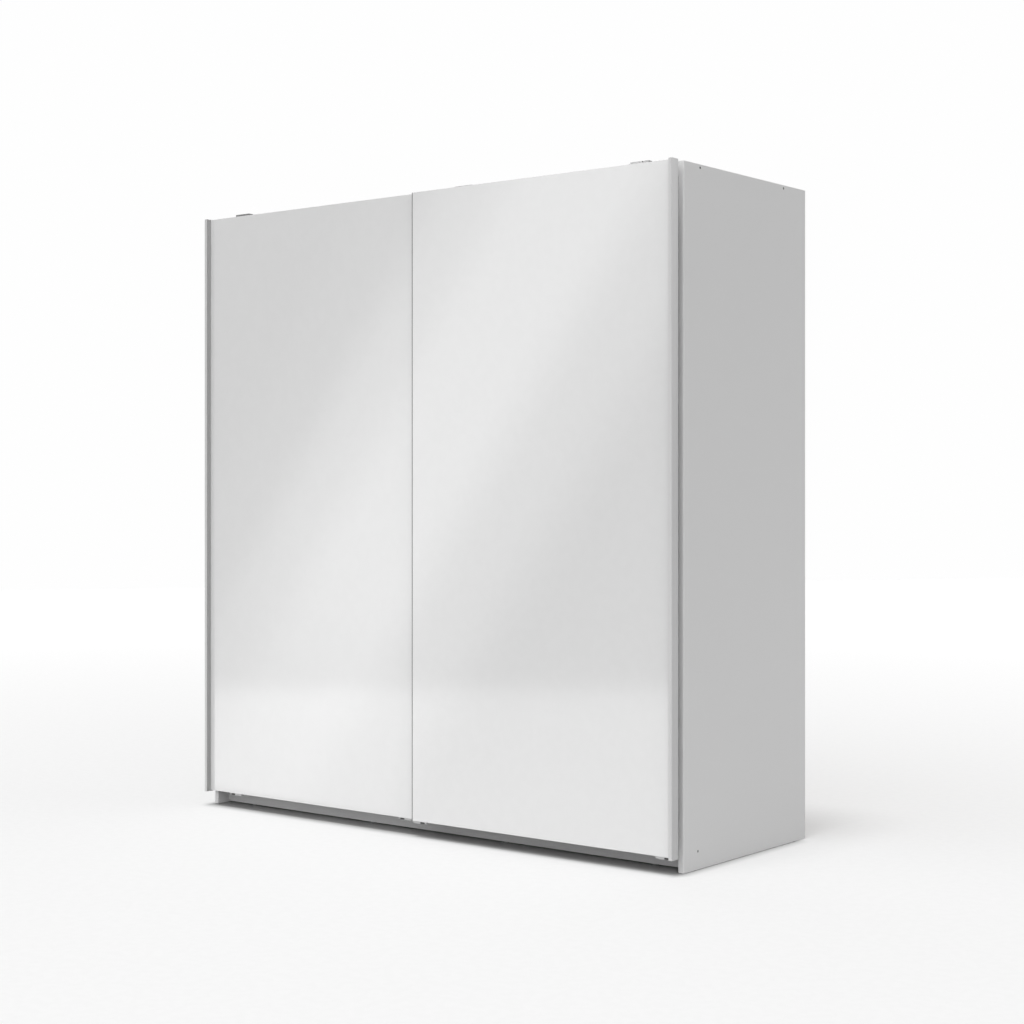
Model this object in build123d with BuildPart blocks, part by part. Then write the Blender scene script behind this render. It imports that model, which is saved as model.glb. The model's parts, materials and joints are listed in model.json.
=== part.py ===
from build123d import *
import os

os.makedirs("parts", exist_ok=True)

# Sliding door wardrobe, in millimetres. X runs across the front, to the right as seen by a
# person facing it. Y runs from the front to the wall and Z upwards from the floor. The origin
# is on the floor, under the middle of the whole object.

# ---- driving dimensions ----
WIDTH = 1820.0  # outside the side panels
HEIGHT = 1900.0  # floor to the top of the carcass
DEPTH = 648.0  # side panel, front edge to back edge
BOARD = 18.0  # carcass board
SHELF_BOARD = 16.0
BACK_BOARD = 3.0
EDGE_RADIUS = 5.0  # rounding of the side panels' outer front edges
INNER_EDGE_RADIUS = 1.0
GLIDE = 2.0  # nail-on glides under the side panels

BASE_BOTTOM = 42.0  # underside of the bottom panel
PLINTH_RECESS = 48.0
PLINTH_GAP = 5.0  # the plinth stands this far off the floor, on its own glides
BACK_INSET = 10.0  # from the back edge to the back panel
GROOVE_DEPTH = 6.0
INTERIOR_FRONT = 70.0  # partition and shelves start behind the tracks
BACK_GAP = 1.0

DOOR_BOARD = 16.0
DOOR_BOTTOM = 48.0
DOOR_TOP = 1899.0
DOOR_EDGE_RADIUS = 0.8
REAR_DOOR_BACK = -9.0  # distances behind the carcass front, so a minus sign means in front
FRONT_DOOR_BACK = -28.0
DOOR_REACH = 912.0  # outer edge of each closed door, from the middle
DOOR_OVERLAP = 25.0  # the closed doors cover each other by this much at the middle
DOOR_TRAVEL = 870.0

STRIP_WIDTH = 11.0
STRIP_PROUD = 17.5
STRIP_WALL = 2.0
STRIP_RADIUS = 2.5
STRIP_TOP = 1900.0
STRIP_BOTTOM = 44.8

TRACK_FRONT = 2.0
TRACK_DEPTH = 60.5
TRACK_FLOOR = 1864.5  # running surface of both channels
TRACK_WALL = 2.5
TRACK_WALL_TOP = 1888.0

HANGER_WIDTH = 64.0
HANGER_SHEET = 2.5
HANGER_FOOT = 1835.0  # lower end of the flange let into the door
REAR_HANGERS = {"outer": -771.0, "inner": -92.0}
FRONT_HANGERS = {"outer": 785.0, "inner": 170.0}
REAR_HANGER_TOP = 1895.5  # the rear door's hangers pass under the front door's
FRONT_HANGER_TOP = 1903.0
REAR_ADJUSTER_TOP = 1908.0
FRONT_ADJUSTER_TOP = 1907.5
ROLLER_RADIUS = 12.0
ROLLER_WIDTH = 7.0
ROLLER_OFFSET = 18.0  # the two rollers sit this far each side of the hanger's middle
ROLLER_GAP = 0.3  # roller to running surface
AXLE_RADIUS = 3.0
AXLE_CLEARANCE = 0.05

RAIL_BOTTOM = 46.0
RAIL_DEPTH = 46.0
RAIL_TOP = 61.5
GROOVE_WIDTH = 8.0
GROOVE_TOP = 57.0
FRONT_GROOVE = 12.0  # middle of the groove used by the rear door
REAR_GROOVE = 33.75
PIN_RADIUS = 3.7
PIN_TOP = 54.0

# ---- derived places ----
INNER = WIDTH / 2 - BOARD  # inner face of a side panel
TOP_BOTTOM = HEIGHT - BOARD  # underside of the top panel
BASE_TOP = BASE_BOTTOM + BOARD
REAR_DOOR_FACE = REAR_DOOR_BACK - DOOR_BOARD
FRONT_DOOR_FACE = FRONT_DOOR_BACK - DOOR_BOARD
FRONT_REACH = STRIP_PROUD - FRONT_DOOR_FACE  # the object's foremost face, before the carcass
FRONT = (FRONT_REACH - DEPTH) / 2  # the carcass front's own Y
TRACK_BACK = TRACK_FRONT + TRACK_DEPTH
BACK_PANEL_FACE = DEPTH - BACK_INSET - BACK_BOARD
AXLE_Z = TRACK_FLOOR + ROLLER_GAP + ROLLER_RADIUS
HALF_PARTITION = BOARD / 2

# ---- helpers: x and z are in the object's frame, y is measured back from the carcass front ----


def block(x, y, z, mode=Mode.ADD):
    """A rectangular block between three pairs of limits, for the piece being made."""
    with BuildSketch(Plane.XY.offset(z[0])) as outline:
        with Locations(((x[0] + x[1]) / 2, FRONT + (y[0] + y[1]) / 2)):
            Rectangle(x[1] - x[0], y[1] - y[0])
    extrude(outline.sketch, amount=z[1] - z[0], mode=mode)


def bar(x, outline_points, mode=Mode.ADD):
    """A bar along X whose section is an outline of (y, z) points."""
    with BuildSketch(Plane.YZ.offset(x[0])) as section:
        with BuildLine():
            Polyline(*[(FRONT + y, z) for y, z in outline_points], close=True)
        make_face()
    extrude(section.sketch, amount=x[1] - x[0], mode=mode)


def pegs_x(centres, x, radius, mode=Mode.ADD):
    """Round pegs along X at (y, z) centres, or holes with Mode.SUBTRACT."""
    with BuildSketch(Plane.YZ.offset(x[0])) as section:
        with Locations(*[(FRONT + a, b) for a, b in centres]):
            Circle(radius)
    extrude(section.sketch, amount=x[1] - x[0], mode=mode)


def pegs_y(centres, y, radius, mode=Mode.ADD):
    """Round pegs along Y at (x, z) centres, or holes with Mode.SUBTRACT."""
    with BuildSketch(Plane.XZ.offset(-FRONT - y[0])) as section:
        with Locations(*centres):
            Circle(radius)
    extrude(section.sketch, amount=y[0] - y[1], mode=mode)


def pegs_z(centres, z, radius, mode=Mode.ADD):
    """Round pegs along Z at (x, y) centres, or holes with Mode.SUBTRACT."""
    with BuildSketch(Plane.XY.offset(z[0])) as section:
        with Locations(*[(a, FRONT + b) for a, b in centres]):
            Circle(radius)
    extrude(section.sketch, amount=z[1] - z[0], mode=mode)


def save(piece, node):
    """Labels a finished piece with its node name and writes it."""
    piece.part.label = node
    export_step(piece.part, f"parts/{node}.step")


# ---- fasteners between the boards ----
SCREW_SHANK = 2.5
SCREW_HEAD = 3.5
SCREW_HEAD_DEPTH = 3.0
SCREW_LENGTH = 50.0
TOP_SCREWS = [(80.0, HEIGHT - BOARD / 2), (523.0, HEIGHT - BOARD / 2)]
BASE_SCREWS = [(69.0, BASE_BOTTOM + BOARD / 2)]
SIDE_SCREWS = TOP_SCREWS + BASE_SCREWS
DOWEL_RADIUS = 4.0
DOWEL_LONG = 24.0  # part of a dowel in the edge of a board
DOWEL_SHORT = 11.0  # part of a dowel in the face of a board
TOP_DOWELS = [(130.0, HEIGHT - BOARD / 2), (580.0, HEIGHT - BOARD / 2)]
BASE_DOWELS = [(130.0, BASE_BOTTOM + BOARD / 2), (580.0, BASE_BOTTOM + BOARD / 2)]
PARTITION_DOWELS = [(0.0, 150.0), (0.0, 560.0)]

# ---- shelves and their supports ----
HAT_SHELF_Z = 1582.0
LOW_SHELVES_Z = [1224.0, 866.0, 508.0]
SHELF_BACK = BACK_PANEL_FACE - BACK_GAP
SHELF_PLAY = 1.0
SUPPORT_Y = [130.0, 570.0]
SUPPORT_SHANK = 2.4
SUPPORT_HOLE = 2.5
SUPPORT_HOLE_DEPTH = 10.0
SUPPORT_COLLAR = 4.0
SUPPORT_REACH = 9.0


def support_centres(heights):
    """(y, z) of the supports under shelves whose undersides are at these heights."""
    return [(y, z - SUPPORT_COLLAR) for z in heights for y in SUPPORT_Y]


RIGHT_SHELVES_Z = [HAT_SHELF_Z] + LOW_SHELVES_Z

# ---- hanging rail ----
TUBE_HEIGHT = 30.0
TUBE_DEPTH = 15.0
TUBE_WALL = 1.2
TUBE_Y = 330.0
TUBE_Z = HAT_SHELF_Z - 45.0
FLANGE_PLATE = 3.0
FLANGE_CUP = 10.0
FLANGE_RIM = 4.0

# ---- side panels ----


def side_panel(node, side):
    """One side: rounded front edges, a groove for the back, and drillings on its inner face."""
    inner = side * INNER
    outer = side * WIDTH / 2

    def across(start, depth):
        """The X span that starts at a distance from the middle and goes towards the middle."""
        ends = (side * start, side * (start - depth))
        return (min(ends), max(ends))

    with BuildPart() as panel:
        with BuildSketch(Plane.XY.offset(GLIDE)) as plan:
            with Locations(((inner + outer) / 2, FRONT + DEPTH / 2)):
                Rectangle(BOARD, DEPTH)
            front_corners = plan.vertices().group_by(Axis.Y)[0].sort_by(Axis.X)
            outer_corner = front_corners[0] if side < 0 else front_corners[-1]
            fillet(outer_corner, EDGE_RADIUS)
            inner_corner = plan.vertices().group_by(Axis.Y)[0].sort_by(lambda v: abs(v.X))[0]
            fillet(inner_corner, INNER_EDGE_RADIUS)
        extrude(amount=HEIGHT - GLIDE)
        block(
            across(INNER + GROOVE_DEPTH, GROOVE_DEPTH),
            (BACK_PANEL_FACE, BACK_PANEL_FACE + BACK_BOARD),
            (BASE_TOP - GROOVE_DEPTH, TOP_BOTTOM + GROOVE_DEPTH),
            Mode.SUBTRACT,
        )
        pegs_x(SIDE_SCREWS, across(WIDTH / 2, BOARD), SCREW_SHANK, Mode.SUBTRACT)
        pegs_x(SIDE_SCREWS, across(WIDTH / 2, SCREW_HEAD_DEPTH), SCREW_HEAD, Mode.SUBTRACT)
        dowels = TOP_DOWELS + BASE_DOWELS
        pegs_x(dowels, across(INNER + DOWEL_SHORT, DOWEL_SHORT), DOWEL_RADIUS, Mode.SUBTRACT)
        heights = [HAT_SHELF_Z] if side < 0 else RIGHT_SHELVES_Z
        pegs_x(
            support_centres(heights),
            across(INNER + SUPPORT_HOLE_DEPTH, SUPPORT_HOLE_DEPTH),
            SUPPORT_HOLE,
            Mode.SUBTRACT,
        )
    save(panel, node)


side_panel("side_panel_left", -1)
side_panel("side_panel_right", 1)

# ---- top and bottom panels ----


def cross_panel(front, z, screws, dowels, inner_face, into_panel):
    """A panel between the sides: grooved for the back, drilled for screws and dowels."""
    with BuildPart() as panel:
        block((-INNER, INNER), (front, DEPTH), (z, z + BOARD))
        groove = sorted((inner_face, inner_face + into_panel * GROOVE_DEPTH))
        block(
            (-INNER, INNER),
            (BACK_PANEL_FACE, BACK_PANEL_FACE + BACK_BOARD),
            groove,
            Mode.SUBTRACT,
        )
        screw_start = WIDTH / 2 - SCREW_LENGTH
        for side in (-1, 1):
            screw_span = sorted((side * screw_start, side * INNER))
            dowel_span = sorted((side * (INNER - DOWEL_LONG), side * INNER))
            pegs_x(screws, screw_span, SCREW_SHANK, Mode.SUBTRACT)
            pegs_x(dowels, dowel_span, DOWEL_RADIUS, Mode.SUBTRACT)
        partition_span = sorted((inner_face, inner_face + into_panel * DOWEL_SHORT))
        pegs_z(PARTITION_DOWELS, partition_span, DOWEL_RADIUS, Mode.SUBTRACT)
    return panel


WALL_BRACKET_X = 500.0
BRACKET_WIDTH = 30.0
BRACKET_LEG = 40.0
BRACKET_SHEET = 2.0
BRACKET_HOLE = 3.0
BRACKET_SCREW_Y = DEPTH - 24.0
BRACKET_HOLE_Z = HEIGHT + 26.0
SMALL_SHANK = 1.8
SMALL_HEAD = 3.4
SMALL_HEAD_DEPTH = 1.2
SMALL_LENGTH = 13.0
TRACK_SCREW_X = [-840.0, -420.0, 0.0, 420.0, 840.0]
TRACK_SCREW_Z = HEIGHT - BOARD / 2
RAIL_SCREW_X = [-800.0, -400.0, 0.0, 400.0, 800.0]
RAIL_SCREW_Y = 55.0

top_panel = cross_panel(TRACK_BACK, TOP_BOTTOM, TOP_SCREWS, TOP_DOWELS, TOP_BOTTOM, 1)
with top_panel:
    pegs_y(
        [(x, TRACK_SCREW_Z) for x in TRACK_SCREW_X],
        (TRACK_BACK, TRACK_BACK + SMALL_LENGTH),
        SMALL_SHANK,
        Mode.SUBTRACT,
    )
    pegs_z(
        [(-WALL_BRACKET_X, BRACKET_SCREW_Y), (WALL_BRACKET_X, BRACKET_SCREW_Y)],
        (HEIGHT - SMALL_LENGTH, HEIGHT),
        SMALL_SHANK,
        Mode.SUBTRACT,
    )
save(top_panel, "top_panel")

bottom_panel = cross_panel(RAIL_DEPTH, BASE_BOTTOM, BASE_SCREWS, BASE_DOWELS, BASE_TOP, -1)
with bottom_panel:
    pegs_z(
        [(x, RAIL_SCREW_Y) for x in RAIL_SCREW_X],
        (BASE_TOP - SMALL_LENGTH, BASE_TOP),
        SMALL_SHANK,
        Mode.SUBTRACT,
    )
save(bottom_panel, "bottom_panel")

# ---- centre partition ----
with BuildPart() as centre_partition:
    block(
        (-HALF_PARTITION, HALF_PARTITION),
        (INTERIOR_FRONT, SHELF_BACK),
        (BASE_TOP, TOP_BOTTOM),
    )
    pegs_z(PARTITION_DOWELS, (TOP_BOTTOM - DOWEL_LONG, TOP_BOTTOM), DOWEL_RADIUS, Mode.SUBTRACT)
    pegs_z(PARTITION_DOWELS, (BASE_TOP, BASE_TOP + DOWEL_LONG), DOWEL_RADIUS, Mode.SUBTRACT)
    pegs_x(
        support_centres(LOW_SHELVES_Z),
        (HALF_PARTITION - 7.0, HALF_PARTITION),
        SUPPORT_HOLE,
        Mode.SUBTRACT,
    )
    pegs_x(
        support_centres([HAT_SHELF_Z]),
        (HALF_PARTITION - 7.0, HALF_PARTITION),
        SUPPORT_HOLE,
        Mode.SUBTRACT,
    )
    pegs_x(
        support_centres([HAT_SHELF_Z]),
        (-HALF_PARTITION, -HALF_PARTITION + 7.0),
        SUPPORT_HOLE,
        Mode.SUBTRACT,
    )
save(centre_partition, "centre_partition")

# ---- back: two thin panels in the grooves, joined by an H-shaped strip ----
JOINT_WEB = 3.0
JOINT_FLANGE = 30.0
JOINT_SKIN = 0.9

for node, side in (("back_panel_left", -1), ("back_panel_right", 1)):
    span = sorted((side * JOINT_WEB / 2, side * (INNER + GROOVE_DEPTH)))
    with BuildPart() as back_panel:
        block(
            span,
            (BACK_PANEL_FACE, BACK_PANEL_FACE + BACK_BOARD),
            (BASE_TOP - GROOVE_DEPTH, TOP_BOTTOM + GROOVE_DEPTH),
        )
    save(back_panel, node)

with BuildPart() as back_joint_strip:
    strip_z = (BASE_TOP, TOP_BOTTOM)
    back_face = BACK_PANEL_FACE + BACK_BOARD
    block((-JOINT_WEB / 2, JOINT_WEB / 2), (BACK_PANEL_FACE, back_face), strip_z)
    flange_x = (-JOINT_FLANGE / 2, JOINT_FLANGE / 2)
    block(flange_x, (BACK_PANEL_FACE - JOINT_SKIN, BACK_PANEL_FACE), strip_z)
    block(flange_x, (back_face, back_face + JOINT_SKIN), strip_z)
save(back_joint_strip, "back_joint_strip")

# ---- plinth boards and floor glides ----
PLINTH_GLIDE_RADIUS = 8.0
SIDE_GLIDE_RADIUS = 7.0
PLINTH_GLIDE_X = [-780.0, -260.0, 260.0, 780.0]
SIDE_GLIDE_Y = [60.0, 590.0]
REAR_PLINTH_FRONT = 600.0

for node, front in (("plinth_front", PLINTH_RECESS), ("plinth_rear", REAR_PLINTH_FRONT)):
    with BuildPart() as plinth:
        block((-INNER, INNER), (front, front + BOARD), (PLINTH_GAP, BASE_BOTTOM))
    save(plinth, node)

with BuildPart() as plinth_brace:
    block(
        (-HALF_PARTITION, HALF_PARTITION),
        (PLINTH_RECESS + BOARD, REAR_PLINTH_FRONT),
        (PLINTH_GAP, BASE_BOTTOM),
    )
save(plinth_brace, "plinth_brace")

with BuildPart() as floor_glides:
    for front in (PLINTH_RECESS, REAR_PLINTH_FRONT):
        centres = [(x, front + BOARD / 2) for x in PLINTH_GLIDE_X]
        pegs_z(centres, (0, PLINTH_GAP), PLINTH_GLIDE_RADIUS)
    for side in (-1, 1):
        centres = [(side * (INNER + BOARD / 2), y) for y in SIDE_GLIDE_Y]
        pegs_z(centres, (0, GLIDE), SIDE_GLIDE_RADIUS)
save(floor_glides, "floor_glides")

# ---- shelves ----
COMPARTMENTS = {
    "left": (-INNER + SHELF_PLAY, -HALF_PARTITION - SHELF_PLAY),
    "right": (HALF_PARTITION + SHELF_PLAY, INNER - SHELF_PLAY),
}
SHELVES = {
    "hat_shelf_left": ("left", HAT_SHELF_Z),
    "hat_shelf_right": ("right", HAT_SHELF_Z),
    "shelf_upper": ("right", LOW_SHELVES_Z[0]),
    "shelf_middle": ("right", LOW_SHELVES_Z[1]),
    "shelf_lower": ("right", LOW_SHELVES_Z[2]),
}
for node, (compartment, z) in SHELVES.items():
    with BuildPart() as shelf:
        block(COMPARTMENTS[compartment], (INTERIOR_FRONT, SHELF_BACK), (z, z + SHELF_BOARD))
        chamfer(shelf.edges().filter_by(Axis.X).group_by(Axis.Y)[0], 1.0)
    save(shelf, node)

with BuildPart() as shelf_supports:
    for side, heights in ((-1, [HAT_SHELF_Z]), (1, RIGHT_SHELVES_Z)):
        centres = support_centres(heights)
        wall_shank = sorted((side * INNER, side * (INNER + SUPPORT_REACH)))
        wall_collar = sorted((side * INNER, side * (INNER - SUPPORT_REACH)))
        middle_shank = sorted((side * HALF_PARTITION, side * (HALF_PARTITION - 6.5)))
        middle_collar = sorted((side * HALF_PARTITION, side * (HALF_PARTITION + SUPPORT_REACH)))
        for shank in (wall_shank, middle_shank):
            pegs_x(centres, shank, SUPPORT_SHANK)
        for collar in (wall_collar, middle_collar):
            pegs_x(centres, collar, SUPPORT_COLLAR)
save(shelf_supports, "shelf_supports")

# ---- hanging rail: an oval tube held in two cupped flanges ----


def oval(x, height, depth, mode=Mode.ADD):
    """An upright oval section on the rail's axis, extruded over an X span."""
    with BuildSketch(Plane.YZ.offset(x[0])) as section:
        with Locations((FRONT + TUBE_Y, TUBE_Z)):
            SlotOverall(height, depth, rotation=90)
    extrude(section.sketch, amount=x[1] - x[0], mode=mode)


RAIL_LEFT = -INNER + FLANGE_PLATE
RAIL_RIGHT = -HALF_PARTITION - FLANGE_PLATE
with BuildPart() as hanging_rail:
    oval((RAIL_LEFT, RAIL_RIGHT), TUBE_HEIGHT, TUBE_DEPTH)
    oval(
        (RAIL_LEFT, RAIL_RIGHT),
        TUBE_HEIGHT - 2 * TUBE_WALL,
        TUBE_DEPTH - 2 * TUBE_WALL,
        Mode.SUBTRACT,
    )
save(hanging_rail, "hanging_rail")

with BuildPart() as rail_flanges:
    for plate in ((-INNER, RAIL_LEFT), (RAIL_RIGHT, -HALF_PARTITION)):
        oval(plate, TUBE_HEIGHT + 6 * FLANGE_RIM, TUBE_DEPTH + 2 * FLANGE_RIM)
    cups = ((RAIL_LEFT, RAIL_LEFT + FLANGE_CUP), (RAIL_RIGHT - FLANGE_CUP, RAIL_RIGHT))
    for cup in cups:
        oval(cup, TUBE_HEIGHT + 2 * FLANGE_RIM, TUBE_DEPTH + 2 * FLANGE_RIM)
        oval(cup, TUBE_HEIGHT, TUBE_DEPTH, Mode.SUBTRACT)
save(rail_flanges, "rail_flanges")

# ---- screws and dowels of the carcass ----
with BuildPart() as carcass_screws:
    for side in (-1, 1):
        outer = side * WIDTH / 2
        shank = sorted((outer, outer - side * SCREW_LENGTH))
        head = sorted((outer, outer - side * SCREW_HEAD_DEPTH))
        socket = sorted((outer, outer - side * SCREW_HEAD_DEPTH * 0.8))
        pegs_x(SIDE_SCREWS, shank, SCREW_SHANK)
        pegs_x(SIDE_SCREWS, head, SCREW_HEAD)
        with BuildSketch(Plane.YZ.offset(socket[0])) as hexagons:
            with Locations(*[(FRONT + y, z) for y, z in SIDE_SCREWS]):
                RegularPolygon(2.2, 6)
        extrude(hexagons.sketch, amount=socket[1] - socket[0], mode=Mode.SUBTRACT)
save(carcass_screws, "carcass_screws")

with BuildPart() as wood_dowels:
    for side in (-1, 1):
        span = sorted((side * (INNER - DOWEL_LONG + 1), side * (INNER + DOWEL_SHORT - 1)))
        pegs_x(TOP_DOWELS + BASE_DOWELS, span, DOWEL_RADIUS)
    top_span = (TOP_BOTTOM - DOWEL_LONG + 1, TOP_BOTTOM + DOWEL_SHORT - 1)
    base_span = (BASE_TOP - DOWEL_SHORT + 1, BASE_TOP + DOWEL_LONG - 1)
    for span in (top_span, base_span):
        pegs_z(PARTITION_DOWELS, span, DOWEL_RADIUS)
save(wood_dowels, "wood_dowels")

# ---- wall brackets, against tipping ----
with BuildPart() as wall_brackets:
    for x in (-WALL_BRACKET_X, WALL_BRACKET_X):
        width = (x - BRACKET_WIDTH / 2, x + BRACKET_WIDTH / 2)
        block(width, (DEPTH - BRACKET_LEG, DEPTH), (HEIGHT, HEIGHT + BRACKET_SHEET))
        block(width, (DEPTH - BRACKET_SHEET, DEPTH), (HEIGHT, HEIGHT + BRACKET_LEG))
        pegs_y([(x, BRACKET_HOLE_Z)], (DEPTH - BRACKET_SHEET, DEPTH), BRACKET_HOLE, Mode.SUBTRACT)
        pegs_z(
            [(x, BRACKET_SCREW_Y)],
            (HEIGHT, HEIGHT + BRACKET_SHEET),
            SMALL_SHANK,
            Mode.SUBTRACT,
        )
save(wall_brackets, "wall_brackets")

# ---- top track: two channels, open at the top, in front of the top panel ----
MID_WALL = 31.0
with BuildPart() as top_track:
    floor_bottom = TRACK_FLOOR - TRACK_WALL
    bar(
        (-INNER, INNER),
        [
            (TRACK_FRONT, floor_bottom),
            (TRACK_BACK, floor_bottom),
            (TRACK_BACK, HEIGHT - 1),
            (TRACK_BACK - TRACK_WALL, HEIGHT - 1),
            (TRACK_BACK - TRACK_WALL, TRACK_FLOOR),
            (MID_WALL + TRACK_WALL, TRACK_FLOOR),
            (MID_WALL + TRACK_WALL, TRACK_WALL_TOP),
            (MID_WALL, TRACK_WALL_TOP),
            (MID_WALL, TRACK_FLOOR),
            (TRACK_FRONT + TRACK_WALL, TRACK_FLOOR),
            (TRACK_FRONT + TRACK_WALL, TRACK_WALL_TOP),
            (TRACK_FRONT, TRACK_WALL_TOP),
        ],
    )
    pegs_y(
        [(x, TRACK_SCREW_Z) for x in TRACK_SCREW_X],
        (TRACK_BACK - TRACK_WALL, TRACK_BACK),
        SMALL_SHANK,
        Mode.SUBTRACT,
    )
save(top_track, "top_track")

# ---- buffers at both ends of both channels: the hangers stop against them ----
BUFFER_LENGTH = 24.0
BUFFER_TOP = 1884.0
BUFFER_GAP = 0.5
with BuildPart() as track_buffers:
    clear = HANGER_WIDTH / 2 + BUFFER_GAP
    channels = (
        (
            (TRACK_FRONT + TRACK_WALL, MID_WALL),
            REAR_HANGERS["outer"] - clear,
            REAR_HANGERS["inner"] + DOOR_TRAVEL + clear,
        ),
        (
            (MID_WALL + TRACK_WALL, TRACK_BACK - TRACK_WALL),
            FRONT_HANGERS["inner"] - DOOR_TRAVEL - clear,
            FRONT_HANGERS["outer"] + clear,
        ),
    )
    for channel, left, right in channels:
        block((left - BUFFER_LENGTH, left), channel, (TRACK_FLOOR, BUFFER_TOP))
        block((right, right + BUFFER_LENGTH), channel, (TRACK_FLOOR, BUFFER_TOP))
    chamfer(track_buffers.edges().filter_by(Axis.Y).group_by(Axis.Z)[-1], 2.0)
save(track_buffers, "track_buffers")

# ---- bottom guide rail: two grooves that open downwards, with a lip over the bottom panel ----
LIP_DEPTH = 18.0
with BuildPart() as bottom_guide_rail:
    half = GROOVE_WIDTH / 2
    bar(
        (-INNER, INNER),
        [
            (0, RAIL_BOTTOM),
            (FRONT_GROOVE - half, RAIL_BOTTOM),
            (FRONT_GROOVE - half, GROOVE_TOP),
            (FRONT_GROOVE + half, GROOVE_TOP),
            (FRONT_GROOVE + half, RAIL_BOTTOM),
            (REAR_GROOVE - half, RAIL_BOTTOM),
            (REAR_GROOVE - half, GROOVE_TOP),
            (REAR_GROOVE + half, GROOVE_TOP),
            (REAR_GROOVE + half, RAIL_BOTTOM),
            (RAIL_DEPTH, RAIL_BOTTOM),
            (RAIL_DEPTH, BASE_TOP),
            (RAIL_DEPTH + LIP_DEPTH, BASE_TOP),
            (RAIL_DEPTH + LIP_DEPTH, RAIL_TOP),
            (0, RAIL_TOP),
        ],
    )
    pegs_z(
        [(x, RAIL_SCREW_Y) for x in RAIL_SCREW_X],
        (BASE_TOP, RAIL_TOP),
        SMALL_SHANK,
        Mode.SUBTRACT,
    )
save(bottom_guide_rail, "bottom_guide_rail")

# ---- pan-head screws of the track, the guide rail and the wall brackets ----
with BuildPart() as small_screws:
    top_centres = [(x, TRACK_SCREW_Z) for x in TRACK_SCREW_X]
    wall_face = TRACK_BACK - TRACK_WALL
    pegs_y(top_centres, (wall_face, TRACK_BACK + SMALL_LENGTH - 1), SMALL_SHANK)
    pegs_y(top_centres, (wall_face - SMALL_HEAD_DEPTH, wall_face), SMALL_HEAD)
    rail_centres = [(x, RAIL_SCREW_Y) for x in RAIL_SCREW_X]
    pegs_z(rail_centres, (BASE_TOP - SMALL_LENGTH + 1, RAIL_TOP), SMALL_SHANK)
    pegs_z(rail_centres, (RAIL_TOP, RAIL_TOP + SMALL_HEAD_DEPTH), SMALL_HEAD)
    bracket_centres = [(x, BRACKET_SCREW_Y) for x in (-WALL_BRACKET_X, WALL_BRACKET_X)]
    seat = HEIGHT + BRACKET_SHEET
    pegs_z(bracket_centres, (HEIGHT - SMALL_LENGTH + 1, seat), SMALL_SHANK)
    pegs_z(bracket_centres, (seat, seat + SMALL_HEAD_DEPTH), SMALL_HEAD)
save(small_screws, "small_screws")

# ---- the doors ----
HANGER_SCREW_RADIUS = 2.0
HANGER_SCREW_HEAD = 4.0
HANGER_SCREW_LENGTH = 11.0
HANGER_SCREWS = [(-20.0, 1850.0), (20.0, 1850.0), (-20.0, 1880.0), (20.0, 1880.0)]
ROLLER_SEAT = 4.25  # tab front to roller front
COLLAR_RADIUS = 5.0
AXLE_HEAD_RADIUS = 4.5
SIDE_PLAY = 0.1  # roller to collar and roller to axle head
HEAD_DEPTH = 1.5
RIVET_DEPTH = 1.0
ADJUSTER_LENGTH = 60.0
ADJUSTER_DEPTH = 18.0
ADJUSTER_SLOT = 4.5
ADJUSTER_SLOT_X = 9.0  # saw slot that lets the adjuster clamp, from its middle
ADJUSTER_SLOT_DEPTH = 4.0
ADJUSTER_HOLE_X = 22.0
ADJUSTER_HOLE = 3.5

GUIDE_WIDTH = 50.0
GUIDE_ARM = 3.5
GUIDE_ARM_WIDTH = 22.0
GUIDE_BASE_DEPTH = 13.0
GUIDE_BASE_Z = 42.0
GUIDE_NECK = 4.0  # joins the base to an arm that runs lower
WEDGE_WIDTH = 16.0
WEDGE_START = 3.5  # from the middle of the base, on the far side from the arm
WEDGE_GAP = 0.4
PIN_PLAY = 0.15
GUIDE_SCREW_RADIUS = 1.6
GUIDE_SCREW_LENGTH = 16.0

DOORS = {
    "left": dict(
        side=-1,
        back=REAR_DOOR_BACK,
        hangers=REAR_HANGERS,
        hanger_top=REAR_HANGER_TOP,
        adjuster_top=REAR_ADJUSTER_TOP,
        tab=10.0,
        groove=FRONT_GROOVE,
        arm_z=42.0,
        guides={"outer": -786.0, "inner": -60.0},
        arm_offset=16.0,
    ),
    "right": dict(
        side=1,
        back=FRONT_DOOR_BACK,
        hangers=FRONT_HANGERS,
        hanger_top=FRONT_HANGER_TOP,
        adjuster_top=FRONT_ADJUSTER_TOP,
        tab=39.0,
        groove=REAR_GROOVE,
        arm_z=38.0,
        guides={"outer": 872.0, "inner": 13.0},
        arm_offset=-14.0,
    ),
}


def make_panel(name, door):
    """The door leaf: hanger pockets and screw holes in its back, guide holes in its lower edge."""
    side = door["side"]
    back = door["back"]
    outer = side * (DOOR_REACH - STRIP_WIDTH)
    middle = -side * DOOR_OVERLAP / 2
    with BuildPart() as panel:
        block(sorted((outer, middle)), (back - DOOR_BOARD, back), (DOOR_BOTTOM, DOOR_TOP))
        fillet(panel.faces().sort_by(Axis.Y)[0].edges(), DOOR_EDGE_RADIUS)
        for x in door["hangers"].values():
            pocket = (x - HANGER_WIDTH / 2, x + HANGER_WIDTH / 2)
            block(pocket, (back - HANGER_SHEET, back), (HANGER_FOOT, DOOR_TOP), Mode.SUBTRACT)
            holes = [(x + dx, z) for dx, z in HANGER_SCREWS]
            pegs_y(holes, (back - HANGER_SCREW_LENGTH - 1, back), HANGER_SCREW_RADIUS, Mode.SUBTRACT)
        for x in door["guides"].values():
            holes = [(x, back - DOOR_BOARD / 2)]
            top = DOOR_BOTTOM + GUIDE_SCREW_LENGTH
            pegs_z(holes, (DOOR_BOTTOM, top), GUIDE_SCREW_RADIUS, Mode.SUBTRACT)
    save(panel, f"door_panel_{name}")


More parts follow.
